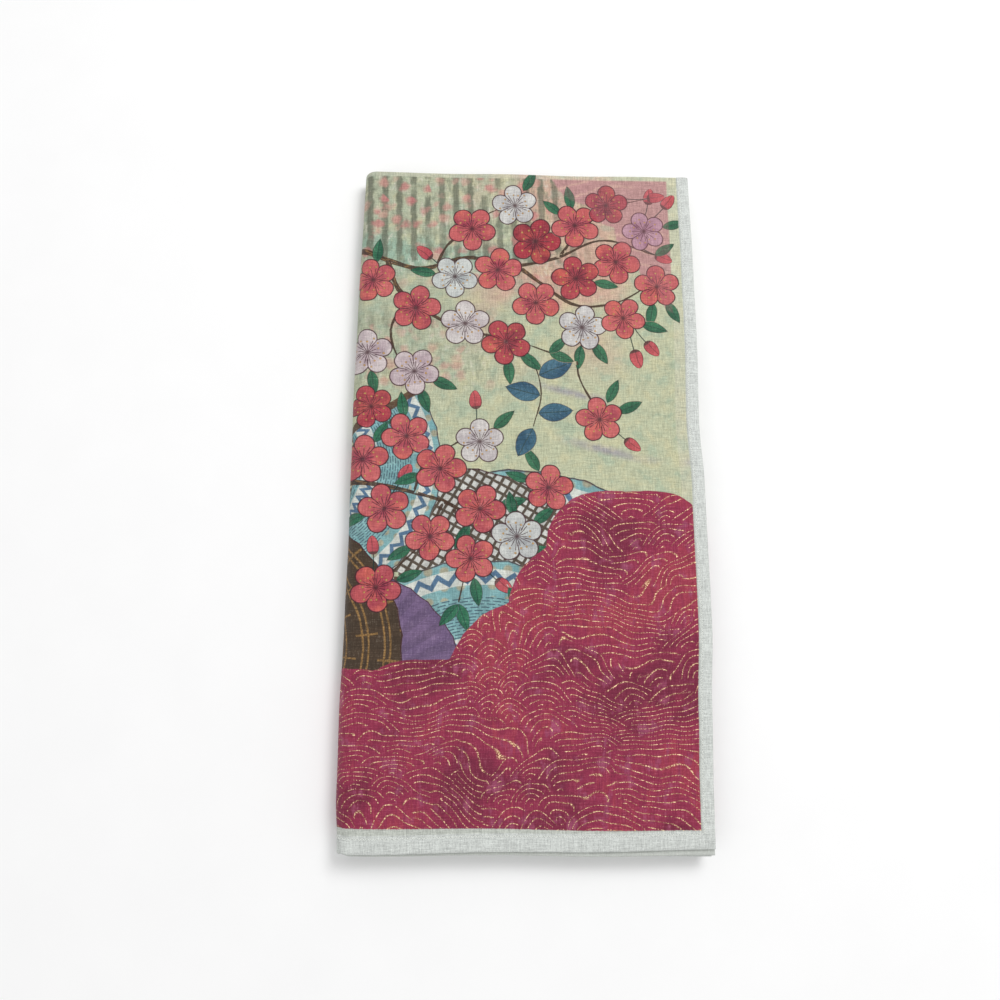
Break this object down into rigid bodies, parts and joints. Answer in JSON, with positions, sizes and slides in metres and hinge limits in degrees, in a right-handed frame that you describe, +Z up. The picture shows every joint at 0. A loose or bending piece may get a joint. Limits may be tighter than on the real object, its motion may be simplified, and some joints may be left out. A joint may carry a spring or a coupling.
{
  "type": "folded handkerchief",
  "caption": "Thin printed cotton handkerchief with narrow sewn hems, folded flat into a long pad, for wiping hands and face or for wrapping small things.",
  "frame": {"origin": "on the underside, in the middle of the folded cloth's outline", "axes": "+Y along the folded cloth, from its near hems to its far fold; +X across it, from the folded left edge to the hemmed right edge; +Z up through the plies"},
  "size_m": [0.1282, 0.2502, 0.0108],
  "materials": {
    "printed_cotton": "thin plain-woven cotton lawn, printed in magenta, cream, green, teal and gold, with a pale unprinted border and hem, matt"
  },
  "bodies": {
    "root": {"handkerchief": "printed_cotton"}
  },
  "joints": []
}
